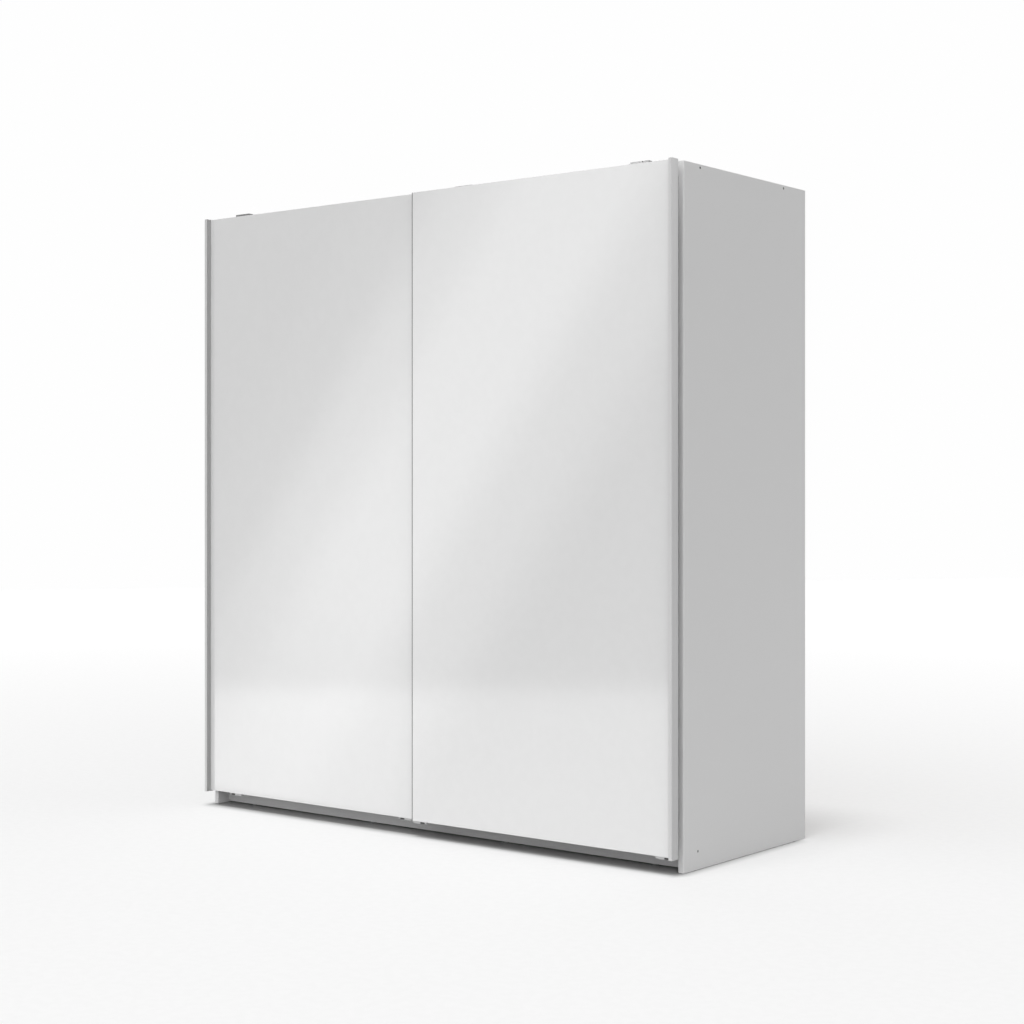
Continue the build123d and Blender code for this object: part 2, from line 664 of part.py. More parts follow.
def make_strip(name, door):
    """The handle strip: a hollow extrusion on the door's outer edge, proud of the door face."""
    side = door["side"]
    front = door["back"] - DOOR_BOARD - STRIP_PROUD
    depth = DOOR_BOARD + STRIP_PROUD
    middle_x = side * (DOOR_REACH - STRIP_WIDTH / 2)
    middle_y = FRONT + front + depth / 2
    with BuildPart() as strip:
        with BuildSketch(Plane.XY.offset(STRIP_BOTTOM)):
            with Locations((middle_x, middle_y)):
                RectangleRounded(STRIP_WIDTH, depth, STRIP_RADIUS)
                inside = (STRIP_WIDTH - 2 * STRIP_WALL, depth - 2 * STRIP_WALL)
                Rectangle(*inside, mode=Mode.SUBTRACT)
        extrude(amount=STRIP_TOP - STRIP_BOTTOM)
    save(strip, f"handle_strip_{name}")


def make_hanger(name, place, x, door):
    """A folded steel hanger: flange in the door's back, arm over the track, tab for the rollers."""
    back = door["back"]
    top = door["hanger_top"]
    tab = door["tab"]
    sheet = HANGER_SHEET
    arm = top - sheet
    span = (x - HANGER_WIDTH / 2, x + HANGER_WIDTH / 2)
    with BuildPart() as hanger:
        bar(
            span,
            [
                (back - sheet, HANGER_FOOT),
                (back, HANGER_FOOT),
                (back, arm),
                (tab, arm),
                (tab, AXLE_Z - 8),
                (tab + sheet, AXLE_Z - 8),
                (tab + sheet, top),
                (back - sheet, top),
            ],
        )
        fillet(hanger.edges().filter_by(Axis.X).group_by(Axis.Z)[-1], 0.6 * sheet)
        holes = [(x + dx, z) for dx, z in HANGER_SCREWS]
        pegs_y(holes, (back - sheet, back), HANGER_SCREW_RADIUS, Mode.SUBTRACT)
        pegs_y(holes, (back - 1.2, back), HANGER_SCREW_HEAD, Mode.SUBTRACT)
        axles = [(x - ROLLER_OFFSET, AXLE_Z), (x + ROLLER_OFFSET, AXLE_Z)]
        pegs_y(axles, (tab, tab + sheet), AXLE_RADIUS, Mode.SUBTRACT)
    save(hanger, f"hanger_{name}_{place}")


def make_adjuster(name, door):
    """The height adjuster on the outer hanger: a steel bar with a clamping slot and a key hole."""
    x = door["hangers"]["outer"]
    front = door["back"] + 1.0
    span_z = (door["hanger_top"], door["adjuster_top"])
    with BuildPart() as adjuster:
        span_x = (x - ADJUSTER_LENGTH / 2, x + ADJUSTER_LENGTH / 2)
        block(span_x, (front, front + ADJUSTER_DEPTH), span_z)
        chamfer(adjuster.edges().filter_by(Axis.Y).group_by(Axis.Z)[-1], 0.8)
        slot = (x + ADJUSTER_SLOT_X, x + ADJUSTER_SLOT_X + ADJUSTER_SLOT)
        slot_z = (span_z[1] - ADJUSTER_SLOT_DEPTH, span_z[1])
        block(slot, (front, front + ADJUSTER_DEPTH), slot_z, Mode.SUBTRACT)
        key = [(x + ADJUSTER_HOLE_X, front + ADJUSTER_DEPTH / 2)]
        pegs_z(key, slot_z, ADJUSTER_HOLE, Mode.SUBTRACT)
    save(adjuster, f"height_adjuster_{name}")


def make_screws(name, door):
    """The door's screws: flat heads through both hangers, and one up through each guide."""
    back = door["back"]
    guide_top = DOOR_BOTTOM + GUIDE_SCREW_LENGTH - 1
    with BuildPart() as screws:
        for x in door["hangers"].values():
            holes = [(x + dx, z) for dx, z in HANGER_SCREWS]
            pegs_y(holes, (back - HANGER_SCREW_LENGTH, back), HANGER_SCREW_RADIUS)
            pegs_y(holes, (back - 1.2, back), HANGER_SCREW_HEAD)
        for x in door["guides"].values():
            centre = [(x, back - DOOR_BOARD / 2)]
            pegs_z(centre, (GUIDE_BASE_Z, guide_top), GUIDE_SCREW_RADIUS)
            pegs_z(centre, (GUIDE_BASE_Z, GUIDE_BASE_Z + 2), 2 * GUIDE_SCREW_RADIUS)
    save(screws, f"door_screws_{name}")


def make_axles(name, door):
    """Riveted axles: rivet head, shaft through the tab, collar and end head."""
    tab = door["tab"]
    seat = tab + ROLLER_SEAT
    end = seat + ROLLER_WIDTH + SIDE_PLAY
    with BuildPart() as axles:
        for x in door["hangers"].values():
            centres = [(x - ROLLER_OFFSET, AXLE_Z), (x + ROLLER_OFFSET, AXLE_Z)]
            pegs_y(centres, (tab - RIVET_DEPTH, tab), AXLE_HEAD_RADIUS)
            pegs_y(centres, (tab, end), AXLE_RADIUS)
            pegs_y(centres, (tab + HANGER_SHEET, seat - SIDE_PLAY), COLLAR_RADIUS)
            pegs_y(centres, (end, end + HEAD_DEPTH), AXLE_HEAD_RADIUS)
    save(axles, f"roller_axles_{name}")


def make_roller(name, place, which, x, door):
    """A nylon roller with rounded rims."""
    seat = door["tab"] + ROLLER_SEAT
    with BuildPart() as roller:
        pegs_y([(x, AXLE_Z)], (seat, seat + ROLLER_WIDTH), ROLLER_RADIUS)
        fillet(roller.edges().filter_by(GeomType.CIRCLE), 0.8)
        bore = AXLE_RADIUS + AXLE_CLEARANCE
        pegs_y([(x, AXLE_Z)], (seat, seat + ROLLER_WIDTH), bore, Mode.SUBTRACT)
    save(roller, f"roller_{name}_{place}_{which}")


def make_guide(name, place, x, door):
    """A plastic guide under the door: a base with room for a wedge, and an arm with a pin hole."""
    base_back = door["back"] - 0.5
    base_front = base_back - GUIDE_BASE_DEPTH
    arm_z = (door["arm_z"], door["arm_z"] + GUIDE_ARM)
    arm_x = x + door["arm_offset"]
    arm_span = (arm_x - GUIDE_ARM_WIDTH / 2, arm_x + GUIDE_ARM_WIDTH / 2)
    wedge = wedge_span(x, door)
    with BuildPart() as guide:
        base_x = (x - GUIDE_WIDTH / 2, x + GUIDE_WIDTH / 2)
        block(base_x, (base_front, base_back), (GUIDE_BASE_Z, DOOR_BOTTOM))
        if arm_z[0] < GUIDE_BASE_Z:
            block(arm_span, (base_back - GUIDE_NECK, base_back), (arm_z[0], GUIDE_BASE_Z))
        block(arm_span, (base_back, door["groove"]), arm_z)
        pegs_z([(arm_x, door["groove"])], arm_z, GUIDE_ARM_WIDTH / 2)
        slot_x = (wedge[0] - WEDGE_GAP / 2, wedge[1] + WEDGE_GAP / 2)
        slot_z = (GUIDE_BASE_Z, DOOR_BOTTOM - 1.5)
        block(slot_x, (base_front, base_back), slot_z, Mode.SUBTRACT)
        hole = PIN_RADIUS + PIN_PLAY
        pegs_z([(arm_x, door["groove"])], arm_z, hole, Mode.SUBTRACT)
        screw = [(x, door["back"] - DOOR_BOARD / 2)]
        screw_z = (GUIDE_BASE_Z, DOOR_BOTTOM)
        pegs_z(screw, screw_z, GUIDE_SCREW_RADIUS, Mode.SUBTRACT)
        head_z = (GUIDE_BASE_Z, GUIDE_BASE_Z + 2)
        pegs_z(screw, head_z, 2 * GUIDE_SCREW_RADIUS, Mode.SUBTRACT)
    save(guide, f"guide_{name}_{place}")


def wedge_span(x, door):
    """The X span of the wedge, on the side of the base that the arm leaves free."""
    away = -1 if door["arm_offset"] > 0 else 1
    near = x + away * WEDGE_START
    return sorted((near, near + away * WEDGE_WIDTH))


def make_wedges(name, door):
    """The wedges that lock the guides."""
    base_back = door["back"] - 0.5
    base_y = (base_back - GUIDE_BASE_DEPTH, base_back)
    with BuildPart() as wedges:
        for x in door["guides"].values():
            span = wedge_span(x, door)
            block(span, base_y, (GUIDE_BASE_Z + 0.5, DOOR_BOTTOM - 1.5))
    save(wedges, f"guide_wedges_{name}")


def make_pin(name, place, x, door):
    """The latching pin: up in the groove when the door is hung, pulled down to let it out."""
    arm_x = x + door["arm_offset"]
    with BuildPart() as pin:
        pegs_z([(arm_x, door["groove"])], (door["arm_z"] + 0.3, PIN_TOP), PIN_RADIUS)
        chamfer(pin.edges().filter_by(GeomType.CIRCLE).group_by(Axis.Z)[-1], 0.8)
    save(pin, f"guide_pin_{name}_{place}")


for name, door in DOORS.items():
    make_panel(name, door)
    make_strip(name, door)
    for place, x in door["hangers"].items():
        make_hanger(name, place, x, door)
        for which, dx in (("a", -ROLLER_OFFSET), ("b", ROLLER_OFFSET)):
            make_roller(name, place, which, x + dx, door)
    make_adjuster(name, door)
    make_screws(name, door)
    make_axles(name, door)
    for place, x in door["guides"].items():
        make_guide(name, place, x, door)
        make_pin(name, place, x, door)
    make_wedges(name, door)

# ---- dust seal: a slim trim over the free edge of the front door, with a lip to the rear door ----
SEAL_WIDTH = 2.5
LIP_WIDTH = 1.5
SEAL_GAP = 0.3
with BuildPart() as dust_seal:
    edge = -DOOR_OVERLAP / 2
    seal_z = (DOOR_BOTTOM, DOOR_TOP)
    block((edge - SEAL_WIDTH, edge), (FRONT_DOOR_FACE, FRONT_DOOR_BACK), seal_z)
    lip_y = (FRONT_DOOR_BACK, REAR_DOOR_FACE - SEAL_GAP)
    block((edge - LIP_WIDTH, edge), lip_y, seal_z)
save(dust_seal, "dust_seal")
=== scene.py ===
"""The looks of the sliding door wardrobe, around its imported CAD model. Metres, in the CAD's frame."""

import json
import math

import bmesh
import bpy
from mathutils import Matrix, Vector


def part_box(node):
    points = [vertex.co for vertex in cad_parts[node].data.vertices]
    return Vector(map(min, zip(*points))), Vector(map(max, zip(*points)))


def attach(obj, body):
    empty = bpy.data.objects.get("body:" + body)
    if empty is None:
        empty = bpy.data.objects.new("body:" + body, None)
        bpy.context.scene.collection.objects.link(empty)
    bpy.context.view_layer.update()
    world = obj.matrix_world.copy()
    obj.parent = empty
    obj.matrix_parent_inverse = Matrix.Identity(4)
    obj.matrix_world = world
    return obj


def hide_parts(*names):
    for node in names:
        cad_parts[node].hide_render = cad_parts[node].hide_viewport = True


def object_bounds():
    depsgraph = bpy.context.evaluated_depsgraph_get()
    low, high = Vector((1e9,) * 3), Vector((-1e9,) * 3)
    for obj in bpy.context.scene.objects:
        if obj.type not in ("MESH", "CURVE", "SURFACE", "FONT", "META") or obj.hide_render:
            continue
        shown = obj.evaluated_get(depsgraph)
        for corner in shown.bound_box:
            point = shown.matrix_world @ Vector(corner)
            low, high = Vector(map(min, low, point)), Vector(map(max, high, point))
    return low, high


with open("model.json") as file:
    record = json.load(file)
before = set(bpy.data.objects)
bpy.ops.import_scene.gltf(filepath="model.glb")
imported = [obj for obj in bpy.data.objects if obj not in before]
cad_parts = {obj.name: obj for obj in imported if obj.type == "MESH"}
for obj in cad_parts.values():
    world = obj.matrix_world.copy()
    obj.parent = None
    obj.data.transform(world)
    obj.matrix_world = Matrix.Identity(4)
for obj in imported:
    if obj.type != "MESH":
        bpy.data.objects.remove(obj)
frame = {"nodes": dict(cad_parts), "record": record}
cad_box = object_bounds()

MM = 0.001

# ---- camera ----
CAMERA_PLACE = (3.6502, -4.4948, 1.0262)
CAMERA_TURN = math.radians(38.343)  # how far it is turned to the left of looking along +Y
CAMERA_LENS = 66.0  # mm, on a 36 mm sensor
CAMERA_SHIFT = -0.0227

camera_data = bpy.data.cameras.new("camera")
camera_data.lens = CAMERA_LENS
camera_data.sensor_width = 36.0
camera_data.shift_y = CAMERA_SHIFT
camera_data.clip_end = 200.0
camera = bpy.data.objects.new("camera", camera_data)
camera.location = CAMERA_PLACE
camera.rotation_euler = (math.pi / 2, 0.0, CAMERA_TURN)
bpy.context.scene.collection.objects.link(camera)
bpy.context.scene.camera = camera
bpy.context.scene.view_settings.view_transform = "Standard"

# ---- node helpers ----


class Nodes:
    """A short way to build a node tree: every call adds one node and returns its output."""

    def __init__(self, tree):
        self.tree = tree
        tree.nodes.clear()

    def add(self, kind, inputs=None, output=0, **settings):
        """Adds a node, sets its properties, and links or sets its inputs by name or number."""
        node = self.tree.nodes.new(kind)
        for key, value in settings.items():
            setattr(node, key, value)
        for key, value in (inputs or {}).items():
            if isinstance(value, bpy.types.NodeSocket):
                self.tree.links.new(value, node.inputs[key])
            else:
                node.inputs[key].default_value = value
        return node.outputs[output] if len(node.outputs) else node

    def math(self, operation, a, b=0.0, clamp=False):
        """One Math node."""
        return self.add("ShaderNodeMath", {0: a, 1: b}, operation=operation, use_clamp=clamp)

    def ramp(self, value, stops):
        """A colour ramp with (place, grey or colour) stops, softly interpolated."""
        output = self.add("ShaderNodeValToRGB", {"Fac": value})
        ramp = output.node.color_ramp
        ramp.interpolation = "EASE"
        while len(ramp.elements) < len(stops):
            ramp.elements.new(0.5)
        for element, (place, colour) in zip(ramp.elements, stops):
            element.position = place
            element.color = (*colour, 1.0) if isinstance(colour, tuple) else (colour,) * 3 + (1.0,)
        return output


def place_noise(nodes, scale, stretch=(1.0, 1.0, 1.0), detail=4.0):
    """Noise in the row frame, with its scale in features per metre along each axis."""
    place = nodes.add("ShaderNodeTexCoord", output=3)
    mapped = nodes.add(
        "ShaderNodeMapping",
        {"Vector": place, "Scale": tuple(scale * s for s in stretch)},
        vector_type="POINT",
    )
    return nodes.add("ShaderNodeTexNoise", {"Vector": mapped, "Scale": 1.0, "Detail": detail})


def bump(nodes, height, depth):
    """A Bump node whose depth is in metres."""
    return nodes.add("ShaderNodeBump", {"Height": height, "Distance": depth})


def surface(name, colour, roughness, normal=None, **sockets):
    """A material with one Principled shader; a function given for a value adds its nodes."""
    material = bpy.data.materials.new(name)
    material.use_nodes = True
    nodes = Nodes(material.node_tree)
    inputs = {key: value(nodes) if callable(value) else value for key, value in sockets.items()}
    inputs["Base Color"] = colour(nodes)
    inputs["Roughness"] = roughness(nodes)
    if normal is not None:
        inputs["Normal"] = normal(nodes)
    shader = nodes.add("ShaderNodeBsdfPrincipled", inputs)
    nodes.add("ShaderNodeOutputMaterial", {"Surface": shader})
    return material


def speckle(scale, dark, light, stretch=(1.0, 1.0, 1.0), detail=4.0):
    """A colour that wanders between two tones at a scale in features per metre."""

    def make(nodes):
        noise = place_noise(nodes, scale, stretch, detail)
        return nodes.ramp(noise, [(0.38, dark), (0.62, light)])

    return make


def varied(scale, low, high, stretch=(1.0, 1.0, 1.0)):
    """A roughness that wanders between two values."""

    def make(nodes):
        noise = place_noise(nodes, scale, stretch)
        span = {"Value": noise, "From Min": 0.35, "From Max": 0.65, "To Min": low, "To Max": high}
        return nodes.add("ShaderNodeMapRange", span)

    return make


def grain(scale, depth, stretch=(1.0, 1.0, 1.0), detail=3.0):
    """A fine relief, its depth in metres."""

    def make(nodes):
        return bump(nodes, place_noise(nodes, scale, stretch, detail), depth)

    return make


def grey(value):
    """A neutral colour."""
    return (value, value, value)


# ---- materials ----
BRUSHED_X = (0.02, 1.0, 1.0)


def chipboard_colour(nodes):
    """Pressed wood chips: pale and dark flakes."""
    place = nodes.add("ShaderNodeTexCoord", output=3)
    cells = nodes.add(
        "ShaderNodeTexVoronoi", {"Vector": place, "Scale": 520.0, "Randomness": 1.0}, output=1
    )
    tone = nodes.add("ShaderNodeSeparateColor", {"Color": cells})
    return nodes.ramp(
        tone,
        [
            (0.1, (0.30, 0.20, 0.12)),
            (0.45, (0.50, 0.37, 0.24)),
            (0.9, (0.66, 0.53, 0.37)),
        ],
    )


def wood_colour(nodes):
    """Beech: pale with long darker flecks."""
    return nodes.ramp(
        place_noise(nodes, 900.0, (0.08, 1.0, 1.0), 5.0),
        [(0.35, (0.52, 0.34, 0.19)), (0.6, (0.68, 0.49, 0.31))],
    )


def zinc(dark, light):
    """Zinc plating: faint crystals between two tones."""

    def make(nodes):
        place = nodes.add("ShaderNodeTexCoord", output=3)
        cells = nodes.add("ShaderNodeTexVoronoi", {"Vector": place, "Scale": 420.0}, output=1)
        tone = nodes.add("ShaderNodeSeparateColor", {"Color": cells})
        return nodes.ramp(tone, [(0.0, grey(dark)), (1.0, grey(light))])

    return make


def lacquer_relief(nodes):
    """The faint waviness of sprayed lacquer."""
    return bump(nodes, place_noise(nodes, 45.0, detail=1.0), 0.000004)


MELAMINE_RELIEF = 0.00006
MATERIALS = {
    "carcass_board": surface(
        "melamine_carcass",
        speckle(1400.0, grey(0.83), grey(0.875)),
        varied(300.0, 0.42, 0.56),
        grain(1600.0, MELAMINE_RELIEF),
    ),
    "edge_and_shelf_board": surface(
        "melamine_shelf",
        speckle(1400.0, grey(0.74), grey(0.79)),
        varied(300.0, 0.42, 0.56),
        grain(1600.0, MELAMINE_RELIEF),
    ),
    "back_board": surface(
        "white_hardboard",
        speckle(700.0, grey(0.66), grey(0.70)),
        varied(500.0, 0.40, 0.50),
        grain(900.0, 0.00004),
    ),
    "door_gloss": surface(
        "gloss_lacquer",
        speckle(30.0, grey(0.896), grey(0.904), detail=2.0),
        varied(20.0, 0.10, 0.12),
        lacquer_relief,
        **{
            "Specular IOR Level": 1.0,
            "Coat Weight": 1.0,
            "Coat Roughness": 0.09,
            "Coat IOR": 1.9,
        },
    ),
    "handle_profile": surface(
        "powder_coat",
        speckle(900.0, grey(0.70), grey(0.74)),
        varied(600.0, 0.34, 0.44),
        grain(2400.0, 0.00003),
    ),
    "track_aluminium": surface(
        "anodised_aluminium",
        speckle(2500.0, grey(0.56), grey(0.66), BRUSHED_X),
        varied(2500.0, 0.28, 0.42, BRUSHED_X),
        grain(3000.0, 0.00002, BRUSHED_X),
        Metallic=1.0,
    ),
    "hanger_steel": surface(
        "zinc_plate",
        zinc(0.42, 0.62),
        varied(400.0, 0.30, 0.45),
        grain(1200.0, 0.00002),
        Metallic=1.0,
    ),
    # Zinc like the hangers', but darker: painted shade standing in for the shadow in the small screw
    # caps and holes.
    "steel_small": surface(
        "zinc_fittings_painted_shade",
        zinc(0.26, 0.40),
        varied(900.0, 0.26, 0.40),
        grain(2200.0, 0.00001),
        Metallic=1.0,
    ),
    "roller_nylon": surface(
        "nylon",
        speckle(500.0, grey(0.66), grey(0.72)),
        varied(700.0, 0.36, 0.48),
        grain(1500.0, 0.00002),
        **{"Subsurface Weight": 0.15, "Subsurface Radius": (0.002, 0.002, 0.002)},
    ),
    "guide_plastic": surface(
        "moulded_grey",
        speckle(800.0, grey(0.62), grey(0.68)),
        varied(900.0, 0.36, 0.5),
        grain(2600.0, 0.00003),
    ),
    "black_plastic": surface(
        "moulded_black",
        speckle(900.0, grey(0.020), grey(0.034)),
        varied(900.0, 0.38, 0.55),
        grain(2600.0, 0.00003),
    ),
    "rail_profile": surface(
        "extruded_grey",
        speckle(1800.0, grey(0.28), grey(0.33), BRUSHED_X),
        varied(1200.0, 0.34, 0.46, BRUSHED_X),
        grain(2600.0, 0.00002, BRUSHED_X),
    ),
    "rail_chrome": surface(
        "chrome",
        speckle(1500.0, grey(0.70), grey(0.78), BRUSHED_X),
        varied(2000.0, 0.05, 0.10, BRUSHED_X),
        grain(3000.0, 0.000004, BRUSHED_X),
        Metallic=1.0,
    ),
    "buffer_rubber": surface(
        "rubber",
        speckle(600.0, grey(0.055), grey(0.085)),
        varied(500.0, 0.6, 0.8),
        grain(1200.0, 0.00005),
    ),
    "seal_grey": surface(
        "brush_pile",
        speckle(4200.0, grey(0.09), grey(0.15), (1.0, 1.0, 0.6)),
        varied(900.0, 0.6, 0.8),
        grain(3600.0, 0.00012, (0.4, 0.4, 1.0)),
        **{"Sheen Weight": 0.3},
    ),
    "dowel_beech": surface(
        "beech", wood_colour, varied(500.0, 0.5, 0.7), grain(900.0, 0.00006, (0.1, 1.0, 1.0))
    ),
}
# A darker copy of the strip's powder coat: painted shade for the inner flank and finger groove, which
# are the same powder coat as the rest of the strip.
FINGER_SIDE_PAINTED_SHADE = surface(
    "powder_coat_painted_shade",
    speckle(900.0, grey(0.43), grey(0.47)),
    varied(600.0, 0.40, 0.50),
    grain(2400.0, 0.00003),
)
CHIPBOARD = surface(
    "raw_chipboard", chipboard_colour, varied(500.0, 0.75, 0.95), grain(700.0, 0.0003)
)
RAW_HARDBOARD = surface(
    "raw_hardboard",
    speckle(260.0, (0.25, 0.155, 0.09), (0.33, 0.215, 0.13)),
    varied(300.0, 0.6, 0.8),
    grain(900.0, 0.00012),
)

# ---- CAD nodes: each takes its slot's material ----
REARWARD = (0.0, 1.0, 0.0)
SLOT_OF = {s["node"]: s["material_slot"] for s in frame["record"]["subparts"]}


def paint(node, material):
    """Gives a CAD node one material."""
    slots = frame["nodes"][node].data.materials
    slots.clear()
    slots.append(material)


def paint_side(node, direction, material):
    """Gives the flat faces of a CAD node that look one way a material of their own."""
    piece = frame["nodes"][node]
    piece.data.materials.append(material)
    index = len(piece.data.materials) - 1
    turn = piece.matrix_world.to_3x3()
    for face in piece.data.polygons:
        if (turn @ face.normal).normalized().dot(Vector(direction)) > 0.99:
            face.material_index = index


for node_name, slot_name in SLOT_OF.items():
    paint(node_name, MATERIALS[slot_name])
    if node_name.startswith("back_panel"):
        paint_side(node_name, REARWARD, RAW_HARDBOARD)
    elif slot_name == "carcass_board":
        paint_side(node_name, REARWARD, CHIPBOARD)

# ---- studio: a floor, a soft room and an overhead light ----
WHITE = (1.0, 1.0, 1.0, 1.0)
FLOOR_REACH = 14.0  # to the sides and behind
FLOOR_EDGE = 4.32  # where the floor ends, in front of the doors and to their left
SUN_POWER = 1.5
SUN_WIDTH = math.radians(12.0)
SUN_TILT = math.radians(11.5)  # towards the front
floor_direction = Vector((-math.sin(CAMERA_TURN), -math.cos(CAMERA_TURN), 0.0))
floor_across = Vector((math.cos(CAMERA_TURN), -math.sin(CAMERA_TURN), 0.0))

floor_mesh = bpy.data.meshes.new("floor")
corners = []
for along, across in ((FLOOR_EDGE, -1), (FLOOR_EDGE, 1), (-FLOOR_REACH, 1), (-FLOOR_REACH, -1)):
    corners.append(floor_direction * along + floor_across * across * FLOOR_REACH)
floor_mesh.from_pydata([tuple(c) for c in corners], [], [(0, 1, 2, 3)])
floor = bpy.data.objects.new("floor", floor_mesh)
bpy.context.scene.collection.objects.link(floor)


PAINTED_SHADOW_SPAN = 0.07  # the painted shadow around the object gives way to the glow's near strength over this distance
GLOW_NEAR = 0.44
GLOW_FAR = 0.115  # added by GLOW_REACH away
GLOW_REACH = 7.0
PAINTED_SHADOW_INSET = Vector((0.03, 0.062, 0.0))  # how far inside the object's outline the floor starts to glow, which is where the painted shadow around its foot ends


def floor_glow_and_painted_shadow(nodes):
    """Glows like a light table except close to the object, where the missing glow paints a shadow
    around its foot on top of the shadow the lights cast, and far off meets the backdrop.

    Diffuse rays don't see the glow, so it doesn't light the object from below.
    """
    place = nodes.add("ShaderNodeTexCoord", output=3)
    middle = ((cad_box[0] + cad_box[1]) / 2).to_2d().to_3d()
    half = ((cad_box[1] - cad_box[0]) / 2).to_2d().to_3d() - PAINTED_SHADOW_INSET
    moved = nodes.add("ShaderNodeVectorMath", {0: place, 1: tuple(middle)}, operation="SUBTRACT")
    folded = nodes.add("ShaderNodeVectorMath", {0: moved}, operation="ABSOLUTE")
    past = nodes.add("ShaderNodeVectorMath", {0: folded, 1: tuple(half)}, operation="SUBTRACT")
    outside = nodes.add("ShaderNodeVectorMath", {0: past, 1: (0, 0, 0)}, operation="MAXIMUM")
    away = nodes.add("ShaderNodeVectorMath", {0: outside}, output=1, operation="LENGTH")
    # Close to the object the glow drops to nothing: a painted shadow around its foot.
    near = {"Value": away, "From Max": PAINTED_SHADOW_SPAN, "To Max": GLOW_NEAR}
    far = {"Value": away, "From Max": GLOW_REACH, "To Max": GLOW_FAR}
    glow_past_painted_shadow = nodes.add("ShaderNodeMapRange", near, interpolation_type="SMOOTHSTEP")
    glow = nodes.math("ADD", glow_past_painted_shadow, nodes.add("ShaderNodeMapRange", far))
    diffuse = nodes.add("ShaderNodeLightPath").node.outputs["Is Diffuse Ray"]
    return nodes.math("MULTIPLY", glow, nodes.math("SUBTRACT", 1.0, diffuse))


studio_floor = surface(
    "studio_floor",
    speckle(40.0, grey(0.415), grey(0.425)),
    varied(40.0, 0.7, 0.8),
    **{
        "Specular IOR Level": 0.0,
        "Emission Color": WHITE,
        "Emission Strength": floor_glow_and_painted_shadow,
    },
)
floor_mesh.materials.append(studio_floor)

world = bpy.data.worlds.new("studio")
bpy.context.scene.world = world
world.use_nodes = True
sky = Nodes(world.node_tree)
path = sky.add("ShaderNodeLightPath")
seen = path.node.outputs["Is Camera Ray"]
mirrored = path.node.outputs["Is Glossy Ray"]
ROOM_EVEN = 0.16  # what lights matt surfaces from everywhere
ROOM_FRONT = 1.6  # added towards the front, above the horizon
ROOM_REAR = 0.4  # added towards the rear
ROOM_SIDE = 0.46  # added towards the right, above the horizon
ROOM_RISE = 2.2  # how steeply the front light sets in above the horizon
ROOM_REFLECTED = 0.40  # what gloss reflects
BACKDROP = 0.992
direction = sky.add("ShaderNodeSeparateXYZ", {0: sky.add("ShaderNodeTexCoord")}).node.outputs
towards_front = sky.math("MULTIPLY", direction[1], -1.0, clamp=True)
above = sky.math("MULTIPLY", direction[2], ROOM_RISE, clamp=True)
towards_rear = sky.math("MULTIPLY", direction[1], 1.0, clamp=True)
front_light = sky.math("MULTIPLY", sky.math("MULTIPLY", towards_front, above), ROOM_FRONT)
rear_light = sky.math("MULTIPLY", towards_rear, ROOM_REAR)
towards_right = sky.math("MULTIPLY", direction[0], 1.0, clamp=True)
side_light = sky.math("MULTIPLY", sky.math("MULTIPLY", towards_right, above), ROOM_SIDE)
lengthwise = sky.math("ADD", front_light, rear_light)
soft_light = sky.math("ADD", sky.math("ADD", lengthwise, side_light), ROOM_EVEN)
room = sky.add("ShaderNodeMix", {0: mirrored, 2: soft_light, 3: ROOM_REFLECTED}, data_type="FLOAT")
strength = sky.add("ShaderNodeMix", {0: seen, 2: room, 3: BACKDROP}, data_type="FLOAT")
background = sky.add("ShaderNodeBackground", {"Color": WHITE, "Strength": strength})
sky.add("ShaderNodeOutputWorld", {"Surface": background})

sun_data = bpy.data.lights.new("overhead", "SUN")
sun_data.energy = SUN_POWER
sun_data.angle = SUN_WIDTH
sun = bpy.data.objects.new("overhead", sun_data)
sun.rotation_euler = (SUN_TILT, 0.0, 0.0)
bpy.context.scene.collection.objects.link(sun)

# ---- a tall soft light that leans to the right: what the gloss of the doors reflects ----
LEAN = (0.5946, 0.804)  # its direction in x and z
LIGHT_MIDDLE = (-0.199, 1.186)
LIGHT_Y = -0.58
LIGHT_HALF_LENGTH = 2.6
LIGHT_HALF_WIDTH = 1.0
LIGHT_PEAK = 0.86
LIGHT_PROFILE = [
    (0.10, 0.0),
    (0.24, 0.12),
    (0.36, 0.62),
    (0.47, 1.0),
    (0.58, 1.0),
    (0.71, 0.46),
    (0.86, 0.0),
]
LIGHT_FADE = [(0.22, 0.45), (0.42, 1.0)]  # along it, from its lower end

light_mesh = bpy.data.meshes.new("leaning_light")
points = []
for along, across in ((-1, -1), (1, -1), (1, 1), (-1, 1)):
    x = LIGHT_MIDDLE[0] + along * LIGHT_HALF_LENGTH * LEAN[0] + across * LIGHT_HALF_WIDTH * LEAN[1]
    z = LIGHT_MIDDLE[1] + along * LIGHT_HALF_LENGTH * LEAN[1] - across * LIGHT_HALF_WIDTH * LEAN[0]
    points.append((x, LIGHT_Y, z))
light_mesh.from_pydata(points, [], [(0, 1, 2, 3)])
light_mesh.uv_layers.new(name="across")
for loop, uv in zip(light_mesh.uv_layers[0].data, ((0, 0), (1, 0), (1, 1), (0, 1))):
    loop.uv = uv
light = bpy.data.objects.new("leaning_light", light_mesh)
bpy.context.scene.collection.objects.link(light)
glow = bpy.data.materials.new("leaning_light")
glow.use_nodes = True
lit = Nodes(glow.node_tree)
uv = lit.add("ShaderNodeSeparateXYZ", {0: lit.add("ShaderNodeTexCoord", output=2)}).node.outputs
profile = lit.ramp(uv[1], LIGHT_PROFILE)
lower_fade = lit.ramp(uv[0], LIGHT_FADE)
power = lit.math("MULTIPLY", lit.math("MULTIPLY", profile, lower_fade), LIGHT_PEAK)
emission = lit.add("ShaderNodeEmission", {"Color": WHITE, "Strength": power})
clear = lit.add("ShaderNodeBsdfTransparent")
both = lit.add("ShaderNodeAddShader", {0: emission, 1: clear})
lit.add("ShaderNodeOutputMaterial", {"Surface": both})
